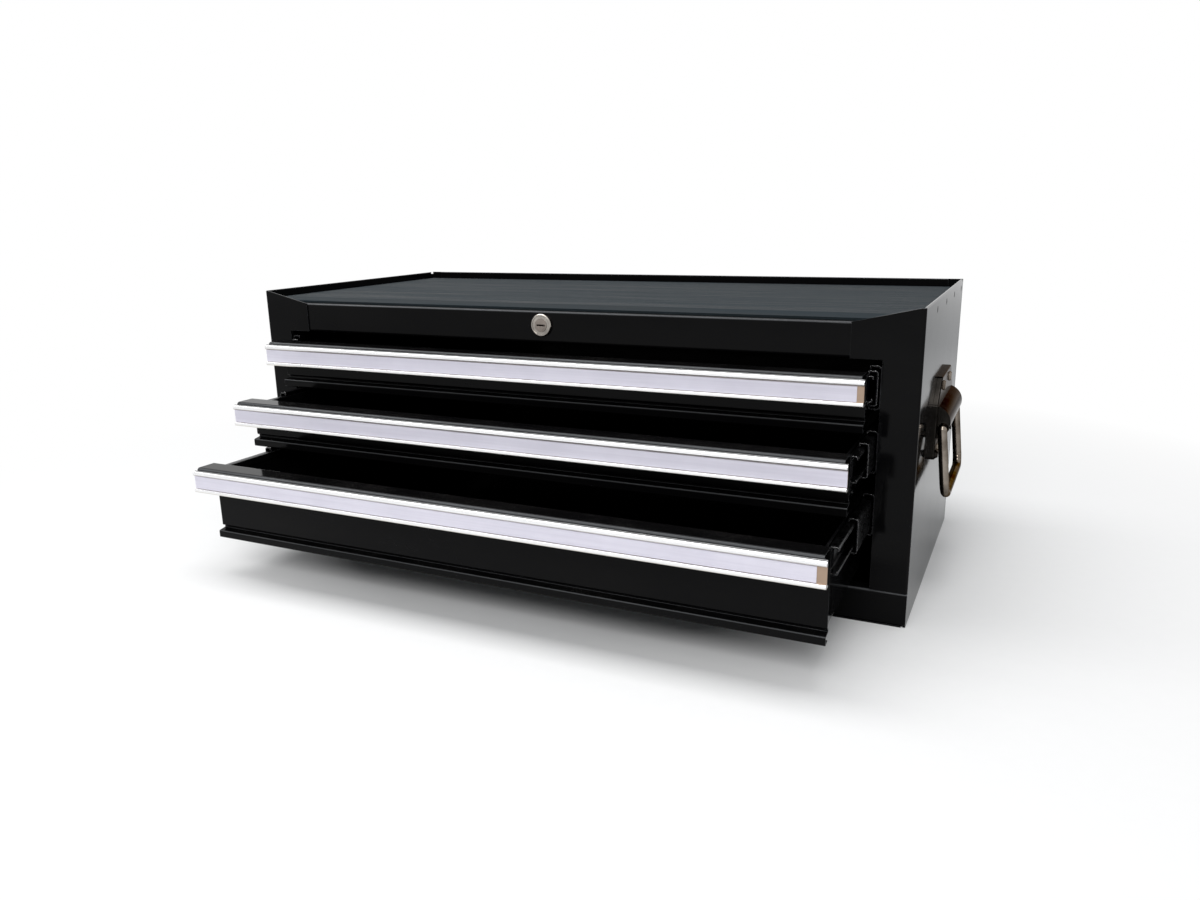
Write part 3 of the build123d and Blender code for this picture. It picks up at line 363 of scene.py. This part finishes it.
# nodes whose finish differs from the rest of their slot
dark_plating = polished_plating("black_nickel_plate", rgb(0.006, 0.0055, 0.005),
                                rgb(0.020, 0.018, 0.016), rough=(0.07, 0.14),
                                glancing=rgb(0.27, 0.24, 0.22))
finish_of = {f"drawer_pull_{drawer}": drawn_aluminium(f"aluminium_pull_{drawer}", drawer)
             for drawer in DRAWERS}
finish_of.update({f"handle_plate_{side}": dark_plating for side in SIDES})
finish_of["lock_plug"] = polished_plating("nickel_plug", rgb(0.15, 0.13, 0.115),
                                          rgb(0.27, 0.235, 0.21), rough=(0.22, 0.36))
for subpart in frame["record"]["subparts"]:
    node = subpart["node"]
    mesh = nodes[node].data
    mesh.materials.clear()
    mesh.materials.append(finish_of.get(node) or MATERIALS[subpart["material_slot"]])


# ------------------------------------------------------------------ pieces
def new_piece(name, shape, slot):
    """Turns a bmesh into a piece that rides on the chest."""
    mesh = bpy.data.meshes.new(name)
    shape.to_mesh(mesh)
    shape.free()
    mesh.materials.append(MATERIALS[slot])
    piece = bpy.data.objects.new(name, mesh)
    bpy.context.scene.collection.objects.link(piece)
    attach(piece, "chest")
    return piece


def ribbed_mat():
    """Rubber mat: rounded ribs along X, sloping borders, rounded corners."""
    low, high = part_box("top_mat")
    ribs, rib_height = 86, 1.1 * MM
    corner, border, border_drop = 5 * MM, 7 * MM, 3.2 * MM
    pitch = (high[1] - low[1] - 2 * border) / ribs
    # share of the pitch, share of the rib's height
    rib_profile = ((0.0, 0.0), (0.16, 0.0), (0.28, 0.75), (0.42, 1.0), (0.72, 1.0),
                   (0.88, 0.75), (0.99, 0.0))
    rows = [(low[1], high[2] - border_drop), (low[1] + border - pitch / 2, high[2])]
    rows += [(low[1] + border + (rib + along) * pitch, high[2] - rib_height * (1 - rise))
             for rib in range(ribs) for along, rise in rib_profile]
    rows += [(high[1] - border, high[2] - rib_height),
             (high[1] - border + pitch / 2, high[2]), (high[1], high[2] - border_drop)]

    def half_length(y):
        from_end = min(y - low[1], high[1] - y)
        cut = max(corner - from_end, 0.0)
        return high[0] - corner + math.sqrt(corner ** 2 - cut ** 2)

    columns = (-1.0, -0.5, 0.0, 0.5, 1.0)
    shape = bmesh.new()
    top, foot = [], []
    for y, z in rows:
        half = half_length(y)
        top.append([shape.verts.new((half * part, y, z)) for part in columns])
        foot.append([shape.verts.new((half * part, y, low[2])) for part in columns])

    def strip(near, far):
        for i in range(len(near) - 1):
            shape.faces.new((near[i], near[i + 1], far[i + 1], far[i]))

    for top_near, top_far, foot_near, foot_far in zip(top, top[1:], foot, foot[1:]):
        strip(top_near, top_far)
        strip(foot_far, foot_near)
        shape.faces.new((top_far[0], foot_far[0], foot_near[0], top_near[0]))
        shape.faces.new((top_near[-1], foot_near[-1], foot_far[-1], top_far[-1]))
    strip(foot[0], top[0])
    strip(top[-1], foot[-1])
    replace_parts(new_piece("ribbed_mat", shape, "mat_rubber"), "top_mat")


def weld_marks(side):
    """Row of spot-weld dimples along the rim, where the shelf's flange is joined."""
    low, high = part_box(f"side_panel_{side}")
    outward = 1 if side == "right" else -1
    face = high[0] if side == "right" else low[0]
    first_y, pitch, count, below_rim = -75 * MM, 70 * MM, 4, 8.5 * MM
    # share of the mark's size, mm proud of the panel
    rings = ((1.0, 0.01), (0.82, 0.16), (0.62, 0.14), (0.45, 0.03), (0.2, 0.015))
    half_wide, half_tall, steps = 1.5 * MM, 3.2 * MM, 20
    circle = [(math.cos(2 * math.pi * k / steps), math.sin(2 * math.pi * k / steps))
              for k in range(steps)]
    shape = bmesh.new()
    for mark in range(count):
        centre_y, centre_z = first_y + mark * pitch, high[2] - below_rim
        loops = [[shape.verts.new((face + outward * proud * MM,
                                   centre_y + size * half_wide * across,
                                   centre_z + size * half_tall * upward))
                  for across, upward in circle] for size, proud in rings]
        for inner, outer in zip(loops[1:], loops):
            for k in range(steps):
                after = (k + 1) % steps
                shape.faces.new((outer[k], outer[after], inner[after], inner[k]))
        shape.faces.new(loops[-1])
    bmesh.ops.recalc_face_normals(shape, faces=shape.faces)
    if outward * shape.faces[0].normal.x < 0:
        bmesh.ops.reverse_faces(shape, faces=shape.faces)
    new_piece(f"weld_marks_{side}", shape, "cabinet_paint").data.shade_smooth()


ribbed_mat()
for side in SIDES:
    weld_marks(side)

# ------------------------------------------------------------------ studio
FLOOR_HALF = 9.0
# metres from the centre over which the floor turns white, for the camera and in mirrors
CAMERA_FADE, MIRROR_FADE = (0.28, 0.9), (1.6, 4.0)
WORLD_LIGHT = 0.35

floor_mesh = bpy.data.meshes.new("studio_floor")
floor_mesh.from_pydata(
    [(-FLOOR_HALF, -FLOOR_HALF, 0), (FLOOR_HALF, -FLOOR_HALF, 0),
     (FLOOR_HALF, FLOOR_HALF, 0), (-FLOOR_HALF, FLOOR_HALF, 0)], [], [(0, 1, 2, 3)])
studio_floor = bpy.data.objects.new("studio_floor", floor_mesh)
bpy.context.scene.collection.objects.link(studio_floor)

floor_material = bpy.data.materials.new("studio_floor")
floor_material.use_nodes = True
tree = Tree(floor_material.node_tree)
length = tree.add("ShaderNodeVectorMath", {"operation": "LENGTH"})
tree.put(length.inputs[0], tree.place())
distance = length.outputs["Value"]
ray = tree.add("ShaderNodeLightPath").outputs
mirrored = tree.math("MAXIMUM", ray["Is Glossy Ray"], ray["Is Transmission Ray"])
white = tree.math("MAXIMUM",
                  tree.times(ray["Is Camera Ray"], tree.ramp(distance, *CAMERA_FADE)),
                  tree.times(mirrored, tree.ramp(distance, *MIRROR_FADE)))
grain = tree.noise(tree.place(), scale=90.0, detail=3.0, rough=0.6)
paper = tree.add("ShaderNodeBsdfDiffuse", Color=tree.mix(grain, grey(0.83), grey(0.86)))
glow = tree.add("ShaderNodeEmission", Color=WHITE, Strength=1.0)
tree.blend_surfaces(white, paper, glow, "ShaderNodeOutputMaterial")
floor_mesh.materials.append(floor_material)

world = bpy.data.worlds.new("studio")
world.use_nodes = True
bpy.context.scene.world = world
tree = Tree(world.node_tree)
ray = tree.add("ShaderNodeLightPath").outputs
seen = tree.math("MAXIMUM", ray["Is Camera Ray"],
                 tree.math("MAXIMUM", ray["Is Glossy Ray"], ray["Is Transmission Ray"]))
light = tree.add("ShaderNodeBackground", Color=rgb(0.94, 0.97, 1.0), Strength=WORLD_LIGHT)
backdrop = tree.add("ShaderNodeBackground", Color=WHITE, Strength=1.0)
tree.blend_surfaces(seen, light, backdrop, "ShaderNodeOutputWorld")


def softbox(name, place, target, width, height, watts):
    lamp = bpy.data.lights.new(name, "AREA")
    lamp.shape = "RECTANGLE"
    lamp.size, lamp.size_y = width, height
    lamp.energy = watts
    holder = bpy.data.objects.new(name, lamp)
    bpy.context.scene.collection.objects.link(holder)
    holder.location = place
    aim = Vector(target) - Vector(place)
    holder.rotation_euler = aim.to_track_quat("-Z", "Y").to_euler()


softbox("overhead_softbox", place=(-0.75, -0.3, 2.25), target=(-0.75, -0.25, 0.2),
        width=3.2, height=0.9, watts=46.0)
softbox("front_softbox", place=(0.5, -2.1, 1.7), target=(0, 0, 0.1),
        width=1.6, height=1.0, watts=30.0)

# ------------------------------------------------------------------ camera
CAMERA_PLACE = (0.4108, -0.8807, 0.3352)
YAW, PITCH, ROLL = (math.radians(angle) for angle in (25.87, -14.55, -1.08))
FOCAL_PIXELS, IMAGE_WIDTH, SENSOR_WIDTH = 924.1, 1200, 36.0

ahead = Vector((-math.sin(YAW) * math.cos(PITCH), math.cos(YAW) * math.cos(PITCH),
                math.sin(PITCH)))
level_right = Vector((math.cos(YAW), math.sin(YAW), 0))
level_up = level_right.cross(ahead)
right = math.cos(ROLL) * level_right + math.sin(ROLL) * level_up
up = -math.sin(ROLL) * level_right + math.cos(ROLL) * level_up
lens = bpy.data.cameras.new("camera")
lens.sensor_width = SENSOR_WIDTH
lens.lens = SENSOR_WIDTH * FOCAL_PIXELS / IMAGE_WIDTH
lens.clip_start = 0.02
camera = bpy.data.objects.new("camera", lens)
bpy.context.scene.collection.objects.link(camera)
camera.matrix_world = Matrix.Translation(CAMERA_PLACE) @ Matrix(
    (right, up, -ahead)).transposed().to_4x4()
bpy.context.scene.camera = camera
bpy.context.scene.view_settings.view_transform = "Standard"
